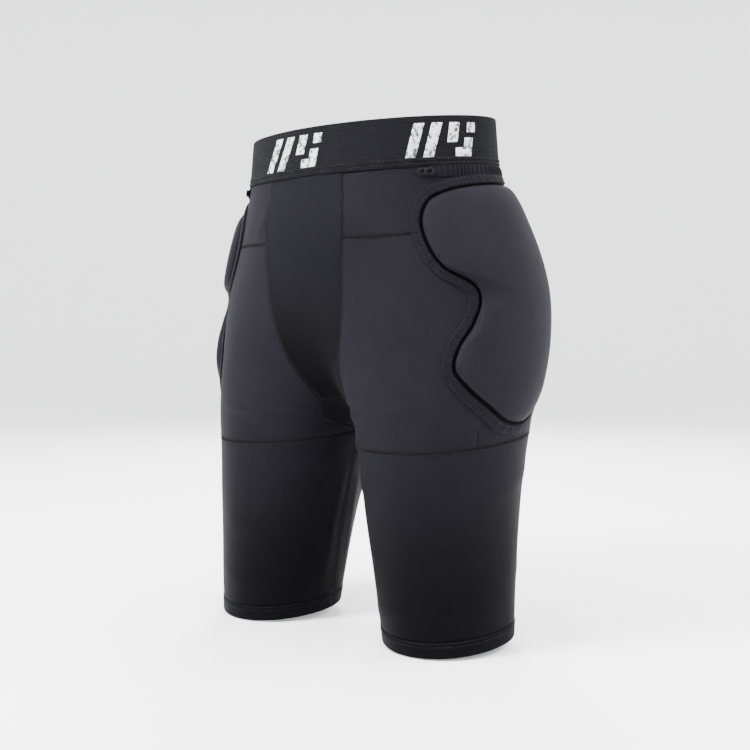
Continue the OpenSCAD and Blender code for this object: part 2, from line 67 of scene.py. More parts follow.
# ---------------------------------------------------------------- the body's shape, in millimetres
BACK_RISE = 0.10
SOFT_FRONT, SOFT_BACK = 0.45, 0.22
LENGTH = 484.0
BAND_H, HEM_H = 46.0, 14.0
YOKE, THIGH = 106.0, 300.0  # depths of the yoke and thigh seams
SIDE = 0.40  # w of the line between front and side panels
HALF_ROUND = 430.0  # about how far it is round half the body
CLOTH_T = 1.1
# depth, half width, front, back, spread of the two legs
FORM = np.array([
    [-30, 114, 83, 86, 0], [0, 117, 86, 89, 0], [47, 126, 91, 98, 0.06], [90, 146, 97, 111, 0.20],
    [130, 161, 99, 121, 0.37], [170, 170, 99, 126, 0.56], [210, 173, 99, 121, 0.75],
    [250, 172, 99, 108, 0.97], [280, 170, 99, 95, 1.13], [315, 168, 97, 82, 1.235],
    [350, 167, 95, 70, 1.325], [400, 167, 91, 55, 1.46], [484, 168, 84, 38, 1.71],
    [514, 168, 82, 34, 1.78],
])


def smooth(x):
    """0 below 0 and 1 above 1, with a soft step between."""
    c = np.clip(x, 0, 1)
    return c * c * (3 - 2 * c)


def round_over(x):
    """A quarter circle: rises steeply from 0 at 0 to 1 at 1."""
    return np.sqrt(np.maximum(0, 1 - (1 - np.clip(x, 0, 1)) ** 2))


def level(d):
    """One level cut: each leg's half width, its centre, and its front and back radius."""
    x = FORM[:, 0]
    i = np.clip(np.searchsorted(x, d, side="right") - 1, 1, len(x) - 3)
    a, b, c, e = x[i - 1], x[i], x[i + 1], x[i + 2]
    h = c - b
    t = ((d - b) / h)[..., None]
    p, q, r, s = (FORM[k, 1:] for k in (i - 1, i, i + 1, i + 2))
    m = (r - p) / (c - a)[..., None] * h[..., None]
    n = (s - q) / (e - b)[..., None] * h[..., None]
    v = ((2 * t**3 - 3 * t**2 + 1) * q + (t**3 - 2 * t**2 + t) * m
         + (3 * t**2 - 2 * t**3) * r + (t**3 - t**2) * n)
    half = v[..., 0] / (1 + v[..., 3])
    cy = (v[..., 2] - v[..., 1]) * 0.3
    return half, v[..., 3] * half, cy, cy + v[..., 1], v[..., 2] - cy


def reach(s, x, y):
    """Below zero inside the body at that level, above zero outside it."""
    half, cx, cy, front, back = s
    k = SOFT_FRONT + (SOFT_BACK - SOFT_FRONT) * smooth((y - cy) / 80)
    g = ((y - cy) / np.where(y < cy, front, back)) ** 2 - 1
    a, b = ((x - cx) / half) ** 2 + g, ((x + cx) / half) ** 2 + g
    m = np.minimum(a, b)
    return m - k * np.log(np.exp((m - a) / k) + np.exp((m - b) / k))


def search(s, x, y, c, n, far):
    """How far it is from (x, y) along (c, n) to the body's surface, up to far."""
    lo, hi = np.zeros_like(far), far.copy()
    for _ in range(21):
        mid = (lo + hi) / 2
        inside = reach(s, x + mid * c, y + mid * n) <= 0
        lo, hi = np.where(inside, mid, lo), np.where(inside, hi, mid)
    return lo


def place(w, d):
    """Points on the body and their outward directions. w runs 0 at the front centre, through the
    wearer's left to 1 at the back centre, on to 2 through the right, or down to -1. Where the legs have
    parted, 0 and 1 are both the left leg's inseam, and -0.0 and -1 the right leg's."""
    w, d = np.broadcast_arrays(np.asarray(w, float), np.asarray(d, float))
    sign = np.where((w > 1) | np.signbit(w), -1.0, 1.0)
    t = np.where(w > 1, 2 - w, np.abs(w))
    s = level(d)
    cx, cy = s[1:3]
    zero, one, wide = np.zeros_like(d), np.ones_like(d), np.full_like(d, 200.0)
    shut = reach(s, zero, cy) > 0  # below the fork, where each leg is a ring of its own
    yf = search(s, zero, cy, zero, -one, wide)
    yb = search(s, zero, cy, zero, one, wide)
    a0 = np.where(shut, -math.pi, np.arctan2(-yf, -cx - 1e-6))
    a1 = np.where(shut, math.pi, np.arctan2(yb, -cx - 1e-6))
    a = a0 + (a1 - a0) * t
    c, n = np.cos(a), np.sin(a)
    far = np.where(c < -1e-6, np.minimum(300, cx / np.maximum(-c, 1e-6)), 300.0)
    r = search(s, cx, cy, c, n, far)
    x, y = cx + r * c, cy + r * n
    x = np.where(x < 0.02, 0, x)
    u, v = level(d - 0.5), level(d + 0.5)
    gx = reach(s, x + 0.5, y) - reach(s, x - 0.5, y)
    gy = reach(s, x, y + 0.5) - reach(s, x, y - 0.5)
    gd = reach(v, x, y) - reach(u, x, y)
    out = np.stack([sign * gx, gy + BACK_RISE * gd, -gd], -1)
    out /= np.linalg.norm(out, axis=-1, keepdims=True)
    return np.stack([sign * x, y, BACK_RISE * y - d], -1), out


def run(values, x):
    """A smooth line through equally spaced values, at x from 0 to 1."""
    v = np.array(values, float)
    v = np.concatenate([[2 * v[0] - v[1]], v, [2 * v[-1] - v[-2]]])
    f = np.clip(x, 0, 0.99999) * (len(v) - 3)
    i = np.floor(f).astype(int)
    t = f - i
    a, b, c, e = v[i], v[i + 1], v[i + 2], v[i + 3]
    return b + 0.5 * t * ((c - a) + t * ((2 * a - 5 * b + 4 * c - e) + t * (3 * (b - c) + e - a)))


def loop(points, x):
    """A smooth closed line through points, at x from 0 to 1."""
    p = np.array(points, float)
    n = len(p)
    f = np.mod(x, 1.0) * n
    i = np.floor(f).astype(int) % n
    t = (f - np.floor(f))[..., None]
    a, b, c, e = p[(i - 1) % n], p[i], p[(i + 1) % n], p[(i + 2) % n]
    return b + 0.5 * t * ((c - a) + t * ((2 * a - 5 * b + 4 * c - e) + t * (3 * (b - c) + e - a)))


def fork_depth():
    """The depth at which the legs part."""
    lo, hi = 270.0, 320.0
    for _ in range(30):
        mid = np.array((lo + hi) / 2)
        s = level(mid)
        lo, hi = (float(mid), hi) if reach(s, 0.0, s[2]) <= 0 else (lo, float(mid))
    return lo


FORK = fork_depth()
GUSSET_TOP = FORK - 24


# the w of each panel's edge at a depth
def fly_edge(d):
    return run([0.125, 0.118, 0.098, 0.082, 0.062, 0.036], (d - 47) / (GUSSET_TOP - 47))


def gusset_edge(d):
    above = 0.036 + 0.026 * smooth((d - GUSSET_TOP) / 24)
    below = 0.010 + 0.052 * smooth((THIGH - d) / (THIGH - FORK))
    return np.where(d < FORK, above, below)


def seat_edge(d):
    return 0.80 - 0.0002 * (d - 47)


# ---------------------------------------------------------------- soft folds in the cloth
FOLDS = [  # each fold: from (w, depth) to (w, depth), half width in mm, height in mm
    (0.03, 268, 0.20, 226, 5, 1.3), (0.05, 276, 0.27, 262, 6, 1.6), (0.04, 290, 0.22, 305, 6, 1.4),
    (0.02, 252, 0.10, 190, 5, 0.9), (0.97, 296, 0.80, 318, 7, 1.3), (0.06, 318, 0.20, 345, 7, 1.2),
    (0.12, 455, 0.30, 440, 7, 0.8), (0.75, 340, 0.93, 372, 8, 1.1), (0.55, 420, 0.75, 440, 9, 0.8),
    (0.02, 330, 0.04, 460, 6, 1.0), (0.97, 340, 0.95, 450, 6, 1.0), (0.13, 70, 0.16, 100, 6, 0.6),
    (0.62, 330, 0.40, 352, 9, 0.9), (0.30, 380, 0.16, 402, 9, 0.8),
]


def folds(w, d):
    """Low creases and a gentle unevenness, in mm, the same on both sides but for the unevenness."""
    t = np.where(w > 1, 2 - w, np.abs(w))
    h = np.zeros(np.shape(t))
    for w0, d0, w1, d1, wide, tall in FOLDS:
        x0, x1, x = w0 * HALF_ROUND, w1 * HALF_ROUND, t * HALF_ROUND
        ux, uy = x1 - x0, d1 - d0
        size = math.hypot(ux, uy)
        along = ((x - x0) * ux + (d - d0) * uy) / size**2
        across = ((x - x0) * uy - (d - d0) * ux) / size
        ends = smooth(along / 0.25 + 0.1) * smooth((1.1 - along) / 0.4)
        h = h + tall * ends * np.exp(-((across / wide) ** 2))
    h = h + 0.35 * np.sin(w * 23 + d * 0.021) * np.sin(d * 0.047 + 1.3 * w)
    return h


# ---------------------------------------------------------------- meshes
def ring_faces(rings, sides, base=0):
    """The faces of a tube of rings, one after another, closed at both ends."""
    faces = []
    for i in range(rings - 1):
        for k in range(sides):
            a, b = base + i * sides + k, base + i * sides + (k + 1) % sides
            faces.append((a, b, b + sides, a + sides))
    faces.append(tuple(base + k for k in range(sides - 1, -1, -1)))
    faces.append(tuple(base + (rings - 1) * sides + k for k in range(sides)))
    return faces


def rim_of(grid):
    """The outer edge of a grid of point numbers, once round."""
    return np.concatenate([grid[0], grid[1:, -1], grid[-1, -2::-1], grid[-2:0:-1, 0]])


def dress(obj, material, slot, *nodes):
    """Gives a piece its material and hides the CAD pieces it replaces; the slot is not used."""
    obj.data.materials.append(material)
    if nodes:
        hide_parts(*nodes)
    return obj


def mesh_object(name, points, faces, uv=None):
    mesh = bpy.data.meshes.new(name)
    mesh.from_pydata([tuple(p) for p in points], [], faces)
    mesh.update()
    mesh.polygons.foreach_set("use_smooth", [True] * len(mesh.polygons))
    if uv is not None:
        layer = mesh.uv_layers.new(name="UVMap")
        corner = np.empty(len(mesh.loops), int)
        mesh.loops.foreach_get("vertex_index", corner)
        layer.data.foreach_set("uv", np.asarray(uv, float)[corner].ravel())
    obj = bpy.data.objects.new(name, mesh)
    bpy.context.scene.collection.objects.link(obj)
    return obj


CUT = {}  # each shell's width, length and area as worn, in metres


def measure(name, outer, closed):
    """Notes how wide, long and large a shell is along its cloth."""
    ring = np.concatenate([outer, outer[:, :1]], 1) if closed else outer
    across, down = np.diff(ring, axis=1), np.diff(ring, axis=0)
    area = np.linalg.norm(np.cross(across[:-1], down[:, :-1]), axis=2).sum()
    width, length = np.linalg.norm(across, axis=2).sum(1).max(), np.linalg.norm(down, axis=2).sum(0).max()
    CUT[name] = (float(width), float(length), float(area))


def declare(obj):
    """Works out what size a cloth piece was cut to, before it was stretched over the body; nothing uses
    the result.
    """
    width, length, area = CUT[obj.name]
    area = min(max(area, 0.31 * width * length), width * length)


def shell(name, w, d, top, thick, closed=False, uv=None, cap=False):
    """A cloth shell over a grid of (w, depth) places: rows run down or outwards, columns run round.
    top is its height over the body and thick its thickness, in mm. closed joins the last column to the
    first, and cap fills the first row."""
    pos, out = place(w, d)
    nv, nu = pos.shape[:2]
    top = np.broadcast_to(top, (nv, nu))[..., None]
    thick = np.broadcast_to(thick, (nv, nu))[..., None]
    outer = (pos + out * top) * MM
    inner = (pos + out * (top - thick)) * MM
    measure(name, outer, closed)
    across = np.roll(outer, -1, 1) - outer
    flip = np.sum(np.cross(across[:-1, :-1], (outer[1:] - outer[:-1])[:, :-1]) * out[:-1, :-1]) < 0
    grid = np.arange(nv * nu).reshape(nv, nu)
    right = np.roll(grid, -1, 1) if closed else grid[:, 1:]
    left = grid if closed else grid[:, :-1]
    quads = np.stack([left[:-1], right[:-1], right[1:], left[1:]], -1).reshape(-1, 4)
    quads = quads[:, ::-1] if flip else quads
    n = nv * nu
    faces = [tuple(q) for q in quads.tolist()] + [tuple(q) for q in (quads[:, ::-1] + n).tolist()]
    rims = [grid[-1][::-1]] if closed else [rim_of(grid)]
    if closed and not cap:
        rims.append(grid[0])
    for e in rims:
        for p, q in zip(e.tolist(), np.roll(e, -1).tolist()):
            faces.append((p, q, q + n, p + n) if flip else (q, p, p + n, q + n))
    if cap:
        middle = grid[0].tolist()
        middle = middle if flip else middle[::-1]
        faces.append(tuple(middle))
        faces.append(tuple(i + n for i in middle[::-1]))
    if uv is None:
        dx = np.linalg.norm(np.diff(outer, axis=1), axis=2)
        dy = np.linalg.norm(np.diff(outer, axis=0), axis=2)
        u = np.concatenate([np.zeros((nv, 1)), np.cumsum(dx, 1)], 1)
        v = np.concatenate([np.zeros((1, nu)), np.cumsum(dy, 0)], 0)
        uv = np.stack([u - u.mean(1, keepdims=True), -v], -1)
    uv = np.concatenate([uv.reshape(-1, 2)] * 2)
    return mesh_object(name, np.concatenate([outer.reshape(-1, 3), inner.reshape(-1, 3)]), faces, uv)


def spread(size, step=3.5, edge=(1.0, 2.2, 4.0)):
    """Fractions from 0 to 1 over a width in mm, closer together at both edges."""
    inner = max(2, int((size - 2 * edge[-1]) / step))
    mid = np.linspace(edge[-1], size - edge[-1], inner + 1)
    e = np.array((0,) + edge[:-1])
    return np.concatenate([e, mid, size - e[::-1]]) / size


def dip(x, size, depth=0.7, wide=1.6):
    """How far both edges sink into their seams, for a fraction x across a size in mm."""
    return depth * (np.exp(-((x * size / wide) ** 2)) + np.exp(-(((1 - x) * size / wide) ** 2)))


def panel(name, inner, outer, rows, width, side, node):
    """A cloth panel between two lines inner(d) and outer(d), over the depths in rows."""
    f = spread(width)
    d = np.repeat(np.asarray(rows, float)[:, None], len(f), 1)
    w = inner(d) + (outer(d) - inner(d)) * f[None, :]
    tall = rows[-1] - rows[0]
    v = (d - rows[0]) / tall
    top = folds(side * w, d) - dip(f[None, :], width) - dip(v, tall)
    return dress(shell(name, side * w, d, top, CLOTH_T), cloth, "cloth", node)


def rows_between(top, low, step=3.5):
    return top + (low - top) * spread(low - top, step)


def rows_past_fork(top):
    """Depths that crowd together where the legs part, so the crotch stays round."""
    above = FORK - (FORK - GUSSET_TOP) * np.linspace(1, 0, 17) ** 2
    below = FORK + (THIGH - FORK) * np.linspace(0, 1, 11)[1:] ** 2
    below = below[:-1].tolist() + [THIGH - 2.2, THIGH - 1.0, THIGH]
    upper = rows_between(top, GUSSET_TOP)[:-4].tolist()
    upper += [GUSSET_TOP - 2.2, GUSSET_TOP - 1.0, GUSSET_TOP - 0.4]
    return np.unique(np.round(np.concatenate([upper, above, below]), 4))


def bend(obj):
    """Bakes the piece's placement into its mesh."""
    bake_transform(obj)
    return obj


STITCH_ALONG = np.array([-0.5, -0.36, 0.0, 0.36, 0.5])  # each stitch's rings, along its length
STITCH_SWELL = np.array([0.35, 0.9, 1.0, 0.9, 0.35])  # how thick it is there
STITCH_SINK = np.array([-0.9, -0.25, 0.0, -0.25, -0.9])  # how far it dives into the cloth there
STITCH_SIDES = 6


def threads(name, w, d, height, pitch, length, radius, aside=0.0, turn=0.0, material=None, jitter=0.0):
    """Separate stitches laid along a line of (w, depth) places, in mm. aside moves them across the line,
    turn slants them, in degrees, and jitter makes them uneven."""
    pos, out = place(w, d)
    pos = pos + out * np.broadcast_to(height, w.shape)[..., None]
    step = np.linalg.norm(np.diff(pos, axis=0), axis=1)
    s = np.concatenate([[0], np.cumsum(step)])
    count = max(2, int(s[-1] / pitch))
    at = (np.arange(count) + 0.5) * s[-1] / count
    centre = np.stack([np.interp(at, s, pos[:, k]) for k in range(3)], -1)
    normal = np.stack([np.interp(at, s, out[:, k]) for k in range(3)], -1)
    normal /= np.linalg.norm(normal, axis=1, keepdims=True)
    near = 0.8
    ahead = np.stack([np.interp(at + near, s, pos[:, k]) - np.interp(at - near, s, pos[:, k])
                      for k in range(3)], -1)
    ahead /= np.linalg.norm(ahead, axis=1, keepdims=True)
    across = np.cross(normal, ahead)
    rng = np.random.default_rng(len(name) + count)
    angle = math.radians(turn) + jitter * rng.standard_normal(len(at))
    along = ahead * np.cos(angle)[:, None] + across * np.sin(angle)[:, None]
    wide = np.cross(normal, along)
    centre = centre + across * aside + across * (jitter * 0.5 * rng.standard_normal(len(at)))[:, None]
    size = length * (1 + 0.5 * jitter * rng.standard_normal(len(at)))
    sides, rings, flat = STITCH_SIDES, len(STITCH_ALONG), 0.8
    points, faces = [], []
    for i in range(len(at)):
        base = len(points)
        for k in range(rings):
            c = centre[i] + along[i] * STITCH_ALONG[k] * size[i] + normal[i] * STITCH_SINK[k] * radius
            for g in np.arange(sides) * 2 * math.pi / sides:
                ray = wide[i] * math.cos(g) + normal[i] * flat * math.sin(g)
                points.append(c + radius * STITCH_SWELL[k] * ray)
        faces.extend(ring_faces(rings, sides, base))
    obj = mesh_object(name, np.array(points) * MM, faces)
    obj.data.materials.append(material)
    return obj


def join(name, parts):
    """One object from several that share a material list, with their UVs where they have them."""
    points, faces, uvs = [], [], []
    for p in parts:
        base = len(points)
        points.extend(tuple(v.co) for v in p.data.vertices)
        faces.extend(tuple(base + i for i in f.vertices) for f in p.data.polygons)
        layer = p.data.uv_layers.active
        if layer:
            uv = {corner.vertex_index: tuple(layer.data[corner.index].uv) for corner in p.data.loops}
            uvs.extend(uv[i] for i in sorted(uv))
    obj = mesh_object(name, points, faces, uvs or None)
    for m in parts[0].data.materials:
        obj.data.materials.append(m)
    for p in parts:
        data = p.data
        bpy.data.objects.remove(p)
        bpy.data.meshes.remove(data)
    return obj


def tube(points, radius, sides=8):
    """A round cord through points in mm, as (vertices, faces), closed at both ends."""
    p = np.array(points, float)
    ahead = np.gradient(p, axis=0)
    ahead /= np.linalg.norm(ahead, axis=1, keepdims=True)
    up = np.cross(ahead, [0.3, 0.2, 0.93])
    up /= np.linalg.norm(up, axis=1, keepdims=True)
    wide = np.cross(ahead, up)
    g = np.arange(sides) * 2 * math.pi / sides
    ring = up[:, None] * np.cos(g)[None, :, None] + wide[:, None] * np.sin(g)[None, :, None]
    return (p[:, None] + radius * ring).reshape(-1, 3), ring_faces(len(p), sides)


# ---------------------------------------------------------------- materials
class Paint:
    """A procedural material with short names for the nodes it needs."""

    def __init__(self, name, rough=0.7, sheen=0.0, sheen_rough=0.4, specular=0.3):
        self.material = bpy.data.materials.new(name)
        self.material.use_nodes = True
        self.tree = self.material.node_tree
        self.shader = self.tree.nodes["Principled BSDF"]
        self.value("Roughness", rough)
        self.value("Sheen Weight", sheen)
        self.value("Sheen Roughness", sheen_rough)
        self.value("Specular IOR Level", specular)
        coord = self.tree.nodes.new("ShaderNodeTexCoord")
        self.uv, self.place = coord.outputs["UV"], coord.outputs["Object"]

    def value(self, name, x):
        self.shader.inputs[name].default_value = x

    def link(self, a, b):
        self.tree.links.new(a, b)

    def noise(self, vector, scale, detail=3.0, rough=0.6):
        n = self.tree.nodes.new("ShaderNodeTexNoise")
        n.inputs["Scale"].default_value = scale
        n.inputs["Detail"].default_value = detail
        n.inputs["Roughness"].default_value = rough
        self.link(vector, n.inputs["Vector"])
        return n.outputs["Fac"]

    def wave(self, vector, pitch, direction="X", shape="SIN", distort=0.0):
        n = self.tree.nodes.new("ShaderNodeTexWave")
        n.bands_direction = direction
        n.wave_profile = shape
        n.inputs["Scale"].default_value = 0.31416 / pitch
        n.inputs["Distortion"].default_value = distort
        n.inputs["Detail"].default_value = 1.0
        self.link(vector, n.inputs["Vector"])
        return n.outputs["Fac"]

    def cells(self, vector, pitch, spread_out=0.15):
        n = self.tree.nodes.new("ShaderNodeTexVoronoi")
        n.inputs["Scale"].default_value = 1 / pitch
        n.inputs["Randomness"].default_value = spread_out
        self.link(vector, n.inputs["Vector"])
        return n.outputs["Distance"]

    def turned(self, vector, angle):
        n = self.tree.nodes.new("ShaderNodeMapping")
        n.inputs["Rotation"].default_value = (0, 0, math.radians(angle))
        self.link(vector, n.inputs["Vector"])
        return n.outputs["Vector"]

    def ramp(self, fac, stops):
        n = self.tree.nodes.new("ShaderNodeValToRGB")
        e = n.color_ramp.elements
        while len(e) < len(stops):
            e.new(0.5)
        for k, (at, c) in enumerate(stops):
            e[k].position = at
            e[k].color = (*c, 1) if len(c) == 3 else c
        self.link(fac, n.inputs["Fac"])
        return n.outputs["Color"]

    def math(self, kind, a, b):
        n = self.tree.nodes.new("ShaderNodeMath")
        n.operation = kind
        for k, x in enumerate((a, b)):
            if isinstance(x, (int, float)):
                n.inputs[k].default_value = x
            else:
                self.link(x, n.inputs[k])
        return n.outputs[0]

    def mix(self, fac, a, b):
        n = self.tree.nodes.new("ShaderNodeMix")
        n.data_type = "RGBA"
        if isinstance(fac, float):
            n.inputs["Factor"].default_value = fac
        else:
            self.link(fac, n.inputs["Factor"])
        for slot, x in (("A", a), ("B", b)):
            socket = next(i for i in n.inputs if i.name == slot and i.type == "RGBA")
            if isinstance(x, tuple):
                socket.default_value = (*x, 1)
            else:
                self.link(x, socket)
        return next(o for o in n.outputs if o.type == "RGBA")

    def height(self, low_z, high_z):
        """0 below low_z and 1 above high_z, in metres, smooth between them."""
        axes = self.tree.nodes.new("ShaderNodeSeparateXYZ")
        self.link(self.place, axes.inputs[0])
        n = self.tree.nodes.new("ShaderNodeMapRange")
        n.interpolation_type = "SMOOTHSTEP"
        n.inputs["From Min"].default_value = low_z
        n.inputs["From Max"].default_value = high_z
        self.link(axes.outputs["Z"], n.inputs["Value"])
        return n.outputs["Result"]

    def colour(self, x):
        self.link(x, self.shader.inputs["Base Color"])

    def bump(self, height, strength, distance=0.0005):
        n = self.tree.nodes.new("ShaderNodeBump")
        n.inputs["Strength"].default_value = strength
        n.inputs["Distance"].default_value = distance
        self.link(height, n.inputs["Height"])
        self.link(n.outputs["Normal"], self.shader.inputs["Normal"])


def knit(name, dark, light, sheen=0.02, rough=0.6, strength=0.4, painted_shade=None, span=(-0.46, -0.25)):
    """Stretch knit: fine crossed ribs, a speckle of lighter yarn and a slow change of tone. Given a shade
    colour, it paints shade: the cloth turns to that darker tone from the upper height of span down to the
    lower one."""
    p = Paint(name, rough=rough, sheen=sheen, sheen_rough=0.35, specular=0.03)
    p.value("Sheen Tint", (0.76, 0.73, 0.85, 1))
    ribs = p.math("MULTIPLY", p.wave(p.turned(p.uv, 32), 0.0011), p.wave(p.turned(p.uv, -32), 0.0011))
    speck = p.noise(p.uv, 900, 2)
    tone = p.noise(p.place, 9, 4)
    base = p.ramp(tone, [(0.3, dark), (0.7, light)])
    fleck = p.ramp(speck, [(0.42, tuple(c * 0.72 for c in dark)), (0.66, tuple(c * 1.35 for c in light))])
    face = p.mix(0.45, base, fleck)
    # Painted shade: lower down, the colour darkens to the shade tone.
    p.colour(p.mix(p.height(*span), painted_shade, face) if painted_shade else face)
    p.bump(p.math("ADD", ribs, p.math("MULTIPLY", speck, 0.6)), strength)
    return p.material


def elastic(name):
    """Woven elastic: close ribs along the band, crossed by finer ones."""
    p = Paint(name, rough=0.72, sheen=0.01, specular=0.03)
    ribs = p.wave(p.uv, 0.0019, "Y")
    fine = p.wave(p.uv, 0.0010, "X")
    both = p.math("ADD", ribs, p.math("MULTIPLY", fine, 0.5))
    tone = p.noise(p.uv, 60, 4)
    base = p.ramp(both, [(0.2, (0.0022, 0.0022, 0.0030)), (0.95, (0.0062, 0.0060, 0.0078))])
    p.colour(p.mix(tone, base, (0.0038, 0.0037, 0.0050)))
    p.bump(both, 0.6, 0.0006)
    return p.material


BLACK, WHITE = (0, 0, 0), (1, 1, 1)  # the ends of a mask


def spacer(name):
    """Perforated spacer mesh: rows of small dark holes in a matt black knit."""
    p = Paint(name, rough=0.85, sheen=0.012, sheen_rough=0.5, specular=0.03)
    holes = p.cells(p.turned(p.uv, 45), 0.0027)
    strands = p.noise(p.uv, 700, 2)
    tone = p.noise(p.place, 14, 3)
    face = p.ramp(tone, [(0.3, (0.0012, 0.0012, 0.0015)), (0.7, (0.0028, 0.0028, 0.0033))])
    body = p.mix(p.ramp(strands, [(0.4, BLACK), (0.7, WHITE)]), face, (0.0052, 0.0052, 0.0060))
    p.colour(p.mix(p.ramp(holes, [(0.22, WHITE), (0.36, BLACK)]), body, (0.0004, 0.0004, 0.0005)))
    p.bump(p.ramp(holes, [(0.15, BLACK), (0.42, WHITE)]), 0.9, 0.0008)
    return p.material


def yarn(name, dark, light, scale=260, rough=0.6):
    """Sewing thread: two tones in patches along its length, with a twist."""
    p = Paint(name, rough=rough, sheen=0.05, specular=0.08)
    tone = p.noise(p.place, scale, 2)
    p.colour(p.ramp(tone, [(0.35, dark), (0.62, light)]))
    p.bump(p.wave(p.turned(p.place, 30), 0.0006), 0.5, 0.0003)
    return p.material


def marks(name):
    """Pale woven marks that have worn through in flecks to the dark band."""
    p = Paint(name, rough=0.75, sheen=0.15)
    worn = p.noise(p.place, 230, 5, 0.7)
    weft = p.wave(p.place, 0.0013, "Z")
    face = p.mix(weft, (0.42, 0.42, 0.43), (0.66, 0.66, 0.67))
    p.colour(p.mix(p.ramp(worn, [(0.43, WHITE), (0.50, BLACK)]), face, (0.02, 0.02, 0.023)))
    p.bump(weft, 0.6, 0.0004)
    return p.material


# Painted shade: the body cloth darkens to near black from about 0.25 m to 0.46 m below the waist, shade
# towards the hems.
cloth = knit("charcoal_knit", (0.0040, 0.0035, 0.0054), (0.0074, 0.0066, 0.0096),
             painted_shade=(0.0009, 0.0008, 0.0012))
# Painted shade: the fly panel is a darker copy of the body cloth and darkens further towards the crotch,
# from about 0.10 m to 0.25 m below the waist.
shaded_fly_cloth = knit("fly_knit_painted_shade", (0.0030, 0.0027, 0.0042), (0.0052, 0.0046, 0.0072),
                 painted_shade=(0.0006, 0.0006, 0.0009), span=(-0.25, -0.10))
# Painted shade: the crotch gusset is a darker copy of the body cloth, shade between the legs.
shaded_gusset_cloth = knit("gusset_knit_painted_shade", (0.0016, 0.0014, 0.0022), (0.0034, 0.0030, 0.0045))
# Painted shade: the hems are a near-black copy of the body cloth, matching its painted shade at the bottom
# of the legs.
shaded_hem_cloth = knit("hem_knit_painted_shade", (0.0008, 0.0007, 0.0010), (0.0015, 0.0014, 0.0019), sheen=0.01)
pad_cloth = knit("pad_knit", (0.0048, 0.0042, 0.0064), (0.0086, 0.0077, 0.0110), sheen=0.03)
# Painted shade: a near-black copy of the knit for the groove between each hip pad's dome and its binding.
pad_groove_shade = knit("groove_painted_shade", (0.0004, 0.0004, 0.0005), (0.0009, 0.0009, 0.0012), sheen=0.0)
band_cloth = elastic("ribbed_elastic")
mesh_cloth = spacer("spacer_mesh")
trim = knit("gathered_binding", (0.0030, 0.0026, 0.0042), (0.0056, 0.0050, 0.0078))
black = yarn("black_thread", (0.0012, 0.0012, 0.0015), (0.003, 0.003, 0.0036))
orange = yarn("orange_thread", (0.045, 0.006, 0.002), (0.27, 0.048, 0.012), scale=150)
dark_orange = yarn("rust_thread", (0.006, 0.002, 0.002), (0.12, 0.016, 0.008), scale=110)
pale = marks("pale_marks")


# ---------------------------------------------------------------- waistband
def band_ripple(w, v):
    """How the elastic waves: gathers at its sewn edge and a slow wave at its top, in mm."""
    w = np.where(w > 1, w - 2, w)
    gathers = 0.30 * np.sin(w * 30 * math.pi) * smooth((v - 0.55) / 0.45)
    return gathers + 0.35 * np.sin(w * 3 * math.pi + 1) * (1 - v)


def build_waistband():
    w = np.linspace(-1, 1, 421)[:-1]
    f = spread(BAND_H, 1.6, (0.35, 0.9, 1.6, 2.6))
    w, d = np.meshgrid(w, f * BAND_H)
    v = d / BAND_H
    edge = round_over(np.minimum(v, 1 - v) * BAND_H / 1.3)
    top = 0.35 + edge + band_ripple(w, v)
    obj = shell("waistband_elastic", w, d, top, 0.5 + 1.9 * edge, closed=True)
    dress(obj, band_cloth, "band", "waistband")
    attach(obj, PELVIS)
    declare(obj)

    ring = np.linspace(-1, 1, 1400)
    rows = []
    for d0, turn in ((39.6, 34), (39.6, -34), (43.4, 0)):
        rows.append(threads(f"waist_row_{d0}_{turn}", ring, np.full(ring.shape, d0), 1.75, 3.4,
                            3.6 if turn else 2.7, 0.42, turn=turn, material=black, jitter=0.05))
    seam = join("waist_seam_stitching", rows)
    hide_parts("waist_seam")
    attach(seam, PELVIS)


def build_marks():
    """A plain row of slanted bars and blocks, five times round the band."""
    tall, low_side, high_side = 31, 1.10, 1.55
    rows, columns = 8, 6
    shapes = [  # left edge, width, top, bottom, slant over the whole height, all in mm
        (-31, 10, 7, 38, 10.5), (-14, 10, 7, 38, 10.5), (3, 10, 7, 25, 6.1), (7.5, 10, 30, 38, 2.7),
        (21, 9, 7, 16, 3.0), (17.5, 9, 21, 38, 5.8),
    ]
    points, faces = [], []
    for w0 in (-0.03, 0.385, 0.77, 1.17, 1.57):
        ahead = place(np.array([w0 + 0.005, w0 - 0.005]), np.array([20.0, 20.0]))[0]
        rate = 0.01 / np.linalg.norm(ahead[0] - ahead[1])
        for x0, wide, y0, y1, slant in shapes:
            y = np.linspace(y0, y1, rows)
            x = x0 + wide * np.linspace(0, 1, columns)[None, :] - slant * ((y - y0) / tall)[:, None]
            d = np.repeat(y[:, None], columns, 1)
            pos, out = place(w0 + x * rate, d)
            ripple = band_ripple(w0 + x * rate, d / BAND_H)
            top = (pos + out * (high_side + ripple)[..., None]).reshape(-1, 3)
            low = (pos + out * (low_side + ripple)[..., None]).reshape(-1, 3)
            base, n = len(points), len(top)
            points.extend(np.concatenate([top, low]))
            grid = np.arange(n).reshape(rows, columns) + base
            for i in range(rows - 1):
                for j in range(columns - 1):
                    q = (grid[i, j], grid[i + 1, j], grid[i + 1, j + 1], grid[i, j + 1])
                    faces.append(tuple(int(k) for k in q))
                    faces.append(tuple(int(k) + n for k in q[::-1]))
            rim = rim_of(grid).tolist()
            for p, q in zip(rim, rim[1:] + rim[:1]):
                faces.append((p, q, q + n, p + n))
    obj = dress(mesh_object("waistband_marks", np.array(points) * MM, faces), pale, "band")
    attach(obj, PELVIS)


